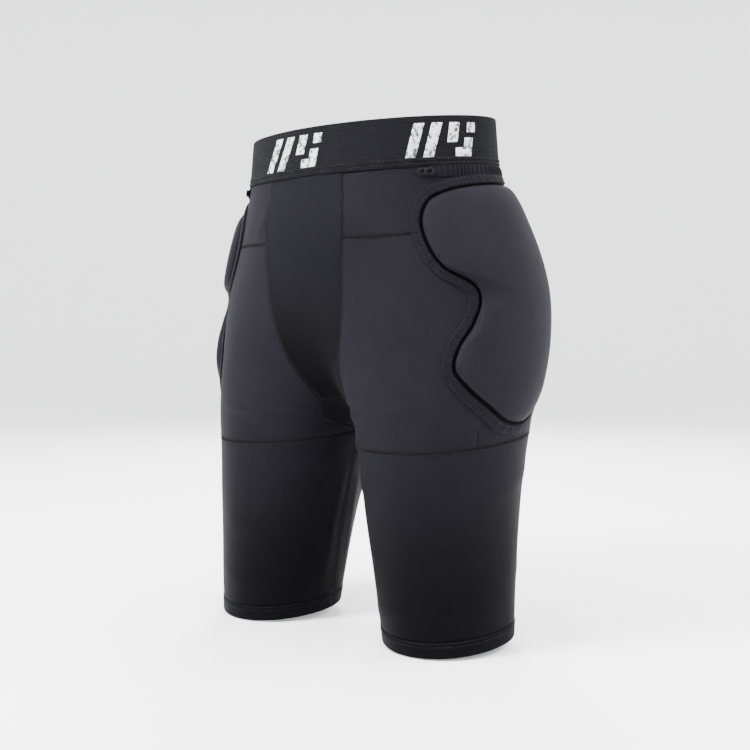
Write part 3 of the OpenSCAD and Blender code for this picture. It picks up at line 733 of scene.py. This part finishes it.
# ---------------------------------------------------------------- cloth panels
def build_fly():
    d = rows_between(BAND_H - 1.0, GUSSET_TOP)
    f = spread(96, 3.2)
    d = np.repeat(d[:, None], len(f), 1)
    w = fly_edge(d) * (2 * f[None, :] - 1)
    width = 2 * fly_edge(d) * 400  # about how wide the panel is there, in mm
    obj = shell("fly_panel_cloth", w, d, folds(w, d) - dip(f, width), CLOTH_T)
    # The fly panel carries painted shade.
    dress(obj, shaded_fly_cloth, "cloth", "fly_panel")
    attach(obj, PELVIS)
    declare(obj)


def build_panels(side):
    name = NAME[side]

    def side_line(d):
        return np.full_like(d, SIDE)

    def front_line(d):
        return np.where(d < GUSSET_TOP, fly_edge(np.minimum(d, GUSSET_TOP)), gusset_edge(d))

    def back_line(d):
        return 1 - np.where(d < GUSSET_TOP - 0.2, 0, gusset_edge(d))

    top = BAND_H - 1.0
    return [
        panel(f"yoke_{name}_cloth", fly_edge, side_line, rows_between(top, YOKE), 112, side,
              f"yoke_{name}"),
        panel(f"front_panel_{name}_cloth", front_line, side_line, rows_past_fork(YOKE), 140, side,
              f"front_panel_{name}"),
        panel(f"side_panel_{name}_cloth", side_line, seat_edge, rows_between(top, THIGH), 160, side,
              f"side_panel_{name}"),
        panel(f"seat_panel_{name}_cloth", seat_edge, back_line, rows_past_fork(top), 100, side,
              f"seat_panel_{name}"),
    ]


def build_gusset(side):
    """One leg's share of the crotch gusset: a front and a back strip that meet at the inseam."""
    name = NAME[side]
    rows = rows_past_fork(YOKE)
    rows = rows[rows > GUSSET_TOP - 0.1]
    halves = []
    for back in (False, True):
        f = np.array([0, 0.06, 0.14, 0.26, 0.42, 0.58, 0.74, 0.86, 0.94, 1.0])
        d = np.repeat(rows[:, None], len(f), 1)
        w = gusset_edge(d) * f[None, :]
        top = folds(w, d) - 0.6 * np.exp(-(((1 - f) * 22 / 1.6) ** 2))
        w = 1 - w if back else w
        obj = shell(f"gusset_{name}_{int(back)}", side * w, d, top, CLOTH_T)
        # The gusset carries painted shade.
        obj.data.materials.append(shaded_gusset_cloth)
        halves.append(obj)
    a, b = (CUT[obj.name] for obj in halves)
    gusset = join(f"crotch_gusset_{name}_cloth", halves)
    CUT[gusset.name] = (max(a[0], b[0]), a[1] + b[1], a[2] + b[2])
    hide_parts("crotch_gusset")
    return gusset


def round_leg(side, w):
    """w round one leg, always in the same turning sense."""
    return side * (w if side > 0 else 1 - w)


def build_leg(side):
    tall = LENGTH - HEM_H - THIGH
    w = np.linspace(0, 1, 191)[:-1]
    w = w - 0.006 * np.sin(2 * math.pi * w)
    w, d = np.meshgrid(w, rows_between(THIGH, LENGTH - HEM_H))
    near = np.minimum(w, 1 - w) * 440
    w = round_leg(side, w)
    top = folds(w, d) - dip((d - THIGH) / tall, tall) - 0.6 * np.exp(-((near / 1.8) ** 2))
    leg = shell(f"leg_panel_{NAME[side]}_cloth", w, d, top, CLOTH_T, closed=True)
    return dress(leg, cloth, "cloth", f"leg_panel_{NAME[side]}", f"upper_thigh_{NAME[side]}")


def build_hem(side):
    tall = HEM_H + 0.6
    w = np.linspace(0, 1, 191)[:-1]
    f = spread(tall, 1.8, (0.3, 0.8, 1.5))
    w, d = np.meshgrid(w, LENGTH - HEM_H + f * tall)
    v = (d - LENGTH + HEM_H) / tall
    bottom = round_over((1 - v) * HEM_H / 1.6)
    start = smooth(v * HEM_H / 2.5)
    pucker = 0.18 * np.sin(w * 2 * math.pi * 46) * np.exp(-((v * HEM_H / 4) ** 2))
    w = round_leg(side, w)
    top = folds(w, np.full_like(d, LENGTH - HEM_H)) - 0.5 + start * (0.4 + 0.6 * bottom) + pucker
    thick = 0.7 + 1.9 * bottom * (0.5 + 0.5 * start)
    hem = shell(f"hem_{NAME[side]}_cloth", w, d, top, thick, closed=True)
    # The hem carries painted shade.
    return dress(hem, shaded_hem_cloth, "cloth", f"hem_{NAME[side]}")


def build_side(side):
    for obj in build_panels(side) + [build_gusset(side), build_leg(side), build_hem(side)]:
        bend(obj)
        declare(obj)


def seam_rows(name, w, d, node=None, side=0):
    """A flat-lock seam: a row of short stitches down each side of the join, and slanted ones across it.
    It rides the pelvis, or with a side its placement is baked into its mesh."""
    lift = folds(w, d) + 0.45
    gap, pitch = 1.7, 3.0
    parts = [threads(f"{name}_{k}", w, d, lift - 0.35, pitch, pitch * 0.78, 0.36, aside=k * gap,
                     material=black, jitter=0.04) for k in (-1, 1)]
    parts.append(threads(f"{name}_x", w, d, lift - 0.65, pitch * 0.55, gap * 2, 0.30, turn=72,
                         material=black, jitter=0.05))
    obj = join(name, parts)
    if node:
        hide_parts(node)
    if side:
        bend(obj)
    else:
        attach(obj, PELVIS)
    return obj


def build_seams():
    for side in (1, -1):
        name = NAME[side]
        d = np.linspace(47, GUSSET_TOP, 500)
        seam_rows(f"fly_seam_{name}_stitching", side * fly_edge(d), d, node=f"fly_seam_{name}")
        w = np.linspace(0.128, 0.275, 200)
        seam_rows(f"yoke_seam_{name}_stitching", side * w, np.full(w.shape, YOKE),
                  node=f"yoke_seam_{name}")
        d = np.linspace(47, 68, 60)
        seam_rows(f"seat_side_seam_{name}_stitching", side * seat_edge(d), d)
        w = np.linspace(0.004, 0.996, 900)
        seam_rows(f"thigh_seam_{name}_stitching", side * w, np.full(w.shape, THIGH),
                  node=f"thigh_seam_{name}", side=side)
        d = np.linspace(THIGH + 3, LENGTH - 1, 500)
        w = np.full(d.shape, float(side))
        seam_rows(f"inseam_{name}_stitching", w, d, node=f"inseam_{name}", side=side)
        w = np.linspace(0.0001, 0.9999, 900)
        rows = []
        lift = folds(side * w, np.full(w.shape, LENGTH - HEM_H)) + 0.35
        for k, at in enumerate((LENGTH - HEM_H + 0.8, LENGTH - HEM_H + 4.2)):
            rows.append(threads(f"hem_row_{name}_{k}", side * w, np.full(w.shape, at), lift + 0.15 * k,
                                3.1, 2.5, 0.38, material=black, jitter=0.04))
        hem = join(f"hem_seam_{name}_stitching", rows)
        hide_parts(f"hem_seam_{name}")
        bend(hem)
    d = np.linspace(47, 54, 40)
    seam_rows("back_seam_stitching", np.full(d.shape, 1.0), d)
    w = np.linspace(-0.036, 0.036, 60)
    seam_rows("gusset_seam_stitching", w, np.full(w.shape, GUSSET_TOP))


# ---------------------------------------------------------------- hip pads
HIP_LINE = [  # the left pad's outline: w, depth
    (0.660, 57), (0.580, 56), (0.500, 56), (0.430, 57), (0.365, 61), (0.308, 71), (0.277, 93),
    (0.279, 119), (0.304, 143), (0.360, 162), (0.344, 184), (0.309, 206), (0.298, 230), (0.334, 252),
    (0.390, 272), (0.450, 288), (0.520, 292), (0.585, 276), (0.628, 248), (0.660, 210), (0.685, 165),
    (0.700, 122), (0.698, 82),
]
HIP_NOTCH = 9  # the point of HIP_LINE at the notch in its front edge
HIP_MIDDLE = np.array([0.49, 172.0])
HIP_T = 11.0
FLANGE_T = 1.7  # of the pads' sewn rims
HIP_EDGE = 9.0  # from the outline in to where the pad swells, in mm
BINDING = (1.20, 2.06)  # where the binding starts and ends, as f of hip_at


def hip_inset(s, mm):
    """The pad's outline, moved in by a constant distance along the cloth."""
    a, b = loop(HIP_LINE, s + 0.002), loop(HIP_LINE, s - 0.002)
    across = np.stack([(a - b)[..., 1] / HALF_ROUND, -(a - b)[..., 0] * HALF_ROUND], -1)
    size = np.hypot(across[..., 0] * HALF_ROUND, across[..., 1])[..., None]
    return loop(HIP_LINE, s) + across / size * np.asarray(mm, float)[..., None]


def hip_at(s, f):
    """A place on the pad: f is 0 at its middle, 1 where it swells, and 0.1 more for each mm beyond."""
    edge = hip_inset(s, HIP_EDGE - 10 * np.maximum(f - 1, 0))
    return HIP_MIDDLE + np.minimum(f, 1)[..., None] * (edge - HIP_MIDDLE)


def build_hip_cover(side):
    name = NAME[side]
    n = 260
    s = np.linspace(0, 1, n + 1)[:-1]
    f = np.concatenate([[0.004], np.linspace(0.03, 0.86, 36), np.linspace(0.875, 0.98, 14),
                        [0.986, 0.991, 0.996, 1.0, 1.05, 1.10, 1.16, 1.24, 1.4, 1.7]])
    s, f = np.meshgrid(s, f)
    q = hip_at(s, f)
    dome = np.sqrt(np.maximum(0, 1 - np.minimum(1, f) ** 6.5))
    notch = np.exp(-(((s * len(HIP_LINE) - HIP_NOTCH) / 0.55) ** 2)) * smooth((f - 0.25) / 0.6)
    soft = 0.35 * np.sin(q[..., 0] * 21) * np.sin(q[..., 1] * 0.043 + 1) * dome
    top = FLANGE_T + (HIP_T - FLANGE_T) * dome * (1 - 0.22 * notch) + soft
    top = top - 1.3 * np.exp(-(((f - 1.08) / 0.09) ** 2)) - 0.5 * smooth((f - 1.2) / 0.3)
    uv = np.stack([q[..., 0] * HALF_ROUND * MM, -q[..., 1] * MM], -1)
    cover = shell(f"hip_pad_{name}_cover", side * q[..., 0], q[..., 1], top, 0.9, closed=True, uv=uv,
                  cap=True)
    dress(cover, pad_cloth, "cloth", f"hip_cover_{name}", f"hip_foam_{name}")
    cover.data.materials.append(pad_groove_shade)
    # The ring of faces in the groove gets the painted shade.
    ring = np.flatnonzero(f[:-1, 0] > 0.987)
    for i in range(int(ring[0]) * n, int(ring[-1] + 1) * n):
        cover.data.polygons[i].material_index = 1
    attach(cover, PELVIS)


def build_hip_binding(side):
    name = NAME[side]
    start, end = BINDING
    s = np.linspace(0, 1, 901)[:-1]
    s, v = np.meshgrid(s, np.array([0, 0.04, 0.12, 0.28, 0.5, 0.72, 0.88, 0.96, 1.0]))
    q = hip_at(s, start + (end - start) * v)
    puff = round_over(np.minimum(v, 1 - v) / 0.22)
    gather = 0.17 * np.sin(s * 2 * math.pi * 150) + 0.12 * np.sin(s * 2 * math.pi * 61 + 2)
    top = 1.9 - 1.0 * v + 1.0 * puff + gather * puff
    strip = shell(f"hip_pad_{name}_binding", side * q[..., 0], q[..., 1], top, 0.5 + 0.7 * puff,
                  closed=True)
    dress(strip, trim, "binding", f"hip_binding_{name}")
    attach(strip, PELVIS)

    line = np.linspace(0, 1, 1400)
    rows = []
    for k, at in enumerate((0.2, 0.8)):
        q = hip_at(line, np.full(line.shape, start + (end - start) * at))
        rows.append(threads(f"hip_row_{name}_{k}", side * q[:, 0], q[:, 1], 2.8 - at, 3.2, 2.5, 0.36,
                            material=black, jitter=0.05))
    sewn = join(f"hip_pad_{name}_stitching", rows)
    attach(sewn, PELVIS)


def build_hip_gather(side):
    """The pleated elastic strip between the waistband and the hip pad."""
    name = NAME[side]
    low = 56.5
    w, d = np.meshgrid(np.linspace(0.335, 0.668, 420), np.linspace(BAND_H - 0.5, low, 12))
    v = (d - BAND_H + 0.5) / (low - BAND_H + 0.5)
    pleat = np.sin((w + 0.004 * np.sin(w * 61)) * 2 * math.pi * 90 + 0.9 * v)
    hold = np.sin(math.pi * np.clip(v, 0, 1)) ** 0.6
    strip = shell(f"hip_gather_{name}_elastic", side * w, d, 1.0 + hold * (0.9 + 0.75 * pleat), 0.8)
    declare(strip)
    dress(strip, trim, "binding", f"hip_gather_{name}")
    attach(strip, PELVIS)


def build_hip_tab(side):
    """A small bow of black tape at the front end of the gathered strip."""
    spot, out = place(np.array(side * 0.327), np.array(51.5))
    across = place(np.array(side * 0.333), np.array(51.5))[0] - spot
    across /= np.linalg.norm(across)
    down = np.cross(across, out)
    down = down if down[2] < 0 else -down
    t = np.linspace(0, 2 * math.pi, 40)[:, None]
    k = np.linspace(-1, 1, 7)[:, None]
    loops = [spot + turn * 3.6 * (1 - np.cos(t)) * across + 2.6 * np.sin(t) * down
             + (2.4 + 0.9 * np.sin(t / 2)) * out for turn in (1, -1)]
    knot = spot + 3.2 * k * down + (3.4 - 1.1 * np.abs(k)) * out
    points, faces = [], []
    for line, radius in ((loops[0], 0.95), (loops[1], 0.95), (knot, 1.3)):
        v, f = tube(line, radius)
        faces.extend(tuple(i + len(points) for i in q) for q in f)
        points.extend(v)
    bow = mesh_object(f"hip_tab_{NAME[side]}_loop", np.array(points) * MM, faces)
    dress(bow, black, "binding", f"hip_tab_{NAME[side]}")
    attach(bow, PELVIS)


def build_hip_pad(side):
    build_hip_cover(side)
    build_hip_binding(side)
    build_hip_gather(side)
    build_hip_tab(side)


# ---------------------------------------------------------------- seat pad
GROOVE = 0.4  # u of the grooves between the tailbone lobe and the buttock lobes
GROOVE_LINE = [0.158, 0.158, 0.132, 0.104, 0.082, 0.064, 0.052, 0.046, 0.042]
OUTER_LINE = [0.178, 0.212, 0.236, 0.254, 0.270, 0.282, 0.290, 0.290, 0.262]
BOTTOM_LINE = [250, 268, 278, 283, 285, 284, 280, 270]
SEAT_T, TAIL_T = 14.0, 11.0


def seat_at(u, v):
    """A place on the seat pad: u runs across it from -1 to 1, and v from 0 at its top to 1 at its foot."""
    a = np.abs(u)
    g, r = run(GROOVE_LINE, v), run(OUTER_LINE, v)
    k = (a - GROOVE) / (1 - GROOVE)
    centre = a <= GROOVE
    off = np.where(centre, g * a / GROOVE, g + (r - g) * k)
    top = np.where(centre, 52 + 7 * (a / GROOVE) ** 2, 59 + 9 * k)
    low = np.where(centre, 246 + 4 * (a / GROOVE) ** 2, run(BOTTOM_LINE, np.clip(k, 0, 1)))
    return 1 - np.sign(u) * off, top + (low - top) * v


def build_seat_pad():
    half = np.concatenate([np.linspace(0, 0.33, 26), np.linspace(0.335, 0.465, 40),
                           np.linspace(0.475, 0.90, 34), np.linspace(0.905, 1.0, 22)])
    u = np.concatenate([half[:0:-1], -half])
    v = np.concatenate([np.linspace(0, 0.17, 30), np.linspace(0.18, 0.82, 60), np.linspace(0.83, 1.0, 30)])
    u, v = np.meshgrid(u, v)
    w, d = seat_at(u, v)
    a = np.abs(u)
    ends = round_over(np.minimum(v - 0.032, 0.968 - v) / 0.13)
    tail = round_over((GROOVE - 0.012 - a) / 0.12)
    seat = round_over(np.minimum(a - GROOVE - 0.012, 0.963 - a) / 0.15)
    crown = np.where(a < GROOVE, (TAIL_T - FLANGE_T) * tail, (SEAT_T - FLANGE_T) * seat)
    uneven = 0.30 * np.sin(u * 9 + d * 0.03) * np.sin(d * 0.06) * ends
    groove = 0.5 * np.exp(-(((a - GROOVE) / 0.010) ** 2)) * ends
    top = FLANGE_T + ends * crown + uneven - groove
    border = np.minimum(np.minimum(v, 1 - v) / 0.02, (1 - a) / 0.03)
    top = top - 0.5 * (1 - smooth(border))
    uv = np.stack([(w - 1) * HALF_ROUND * MM, -d * MM], -1)
    cover = shell("seat_pad_cover", w, d, top, 1.0, uv=uv)
    dress(cover, mesh_cloth, "mesh", "seat_cover", "tailbone_foam", "buttock_foam_left",
          "buttock_foam_right")
    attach(cover, PELVIS)


def seat_edge_line(count, inset_u, inset_v):
    """Places once round the seat pad's flange: its top, one side, its foot, then the other side."""
    f = 4 * np.linspace(0, 0.99999, count)
    q = np.floor(f).astype(int)
    t = f - q
    eu, ev = 1 - inset_u, 1 - inset_v
    on = np.ones(count)
    u = np.choose(q, [-eu + 2 * eu * t, eu * on, eu - 2 * eu * t, -eu * on])
    v = np.choose(q, [inset_v * on, inset_v + (ev - inset_v) * t, ev * on, ev - (ev - inset_v) * t])
    return seat_at(u, v)


def build_seat_stitching():
    """Uneven orange overlock stitches, with darker ones under them."""
    w, d = seat_edge_line(5000, 0.015, 0.013)
    parts = [
        threads("seat_over_a", w, d, 2.00, 2.5, 4.3, 0.50, turn=58, material=orange, jitter=0.26),
        threads("seat_over_b", w, d, 2.15, 3.7, 3.6, 0.48, turn=-36, material=orange, jitter=0.34),
        threads("seat_over_c", w, d, 2.10, 3.6, 2.9, 0.50, aside=1.5, material=orange, jitter=0.16),
        threads("seat_over_d", w, d, 2.05, 3.9, 2.9, 0.50, aside=-1.5, material=orange, jitter=0.16),
    ]
    sewn = join("seat_pad_orange_stitching", parts)
    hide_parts("seat_stitching")
    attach(sewn, PELVIS)
    parts = [
        threads("seat_under_a", w, d, 1.75, 1.7, 4.6, 0.52, turn=80, material=dark_orange, jitter=0.18),
        threads("seat_under_b", w, d, 2.35, 8.3, 4.4, 0.55, turn=20, material=dark_orange, jitter=0.6),
    ]
    under = join("seat_pad_rust_stitching", parts)
    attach(under, PELVIS)


build_waistband()
build_marks()
build_fly()
build_side(1)
build_side(-1)
build_seams()
build_hip_pad(1)
build_hip_pad(-1)
build_seat_pad()
build_seat_stitching()

# ---------------------------------------------------------------- light, floor and camera
low, high = (Vector(v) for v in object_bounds())
centre = (low + high) / 2


def build_stage():
    """A pale round floor that curves up into its wall, even sky light and five soft lamps."""
    floor_paint = Paint("pale_floor", rough=0.9, specular=0.1)
    floor_paint.value("Base Color", (0.92, 0.92, 0.92, 1))
    arc = [(2.9 + 1.6 * math.sin(t), 1.6 - 1.6 * math.cos(t)) for t in np.linspace(0, math.pi / 2, 14)]
    line = [(0.001, 0.0), (0.8, 0.0), (1.8, 0.0)] + arc + [(4.5, 4.2)]
    sides, points, faces = 64, [], []
    for r, z in line:
        for k in range(sides):
            g = 2 * math.pi * k / sides
            points.append((r * math.cos(g), r * math.sin(g), low.z - 0.001 + z))
    for i in range(len(line) - 1):
        for k in range(sides):
            a, b = i * sides + k, i * sides + (k + 1) % sides
            faces.append((a, a + sides, b + sides, b))
    floor = mesh_object("studio_floor", points, faces)
    floor.data.materials.append(floor_paint.material)
    floor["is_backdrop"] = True
    world = bpy.data.worlds.new("studio")
    world.use_nodes = True
    world.node_tree.nodes["Background"].inputs[0].default_value = (0.97, 0.98, 1.0, 1)
    world.node_tree.nodes["Background"].inputs[1].default_value = 1.9
    bpy.context.scene.world = world
    for name, at, size, power in (
        ("key", (-0.55, -1.25, 1.35), 0.6, 120), ("fill", (1.6, -0.8, 1.5), 0.9, 46),
        ("back_left", (-1.0, 1.4, 1.4), 0.8, 90), ("back_right", (1.4, 1.1, 1.5), 0.8, 60),
        ("top", (0, 0, 1.9), 1.0, 30),
    ):
        light = bpy.data.lights.new(name, "AREA")
        light.size, light.energy = size, power
        obj = bpy.data.objects.new(name, light)
        obj.location = centre + Vector(at)
        obj.rotation_mode = "QUATERNION"
        obj.rotation_quaternion = (centre - obj.location).to_track_quat("-Z", "Y")
        bpy.context.scene.collection.objects.link(obj)
        obj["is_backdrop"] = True


def build_camera():
    camera = bpy.data.cameras.new("camera")
    obj = bpy.data.objects.new("camera", camera)
    az, far = math.radians(38), 1.06  # from the front left, as in the photograph
    aim = Vector((0.004, 0, centre.z - 0.002))
    obj.location = Vector((math.sin(az) * far, -math.cos(az) * far, centre.z + 0.03))
    obj.rotation_mode = "QUATERNION"
    obj.rotation_quaternion = (aim - obj.location).to_track_quat("-Z", "Y")
    camera.sensor_width, camera.lens = 36, 50
    bpy.context.scene.collection.objects.link(obj)
    bpy.context.scene.camera = obj


build_stage()
build_camera()
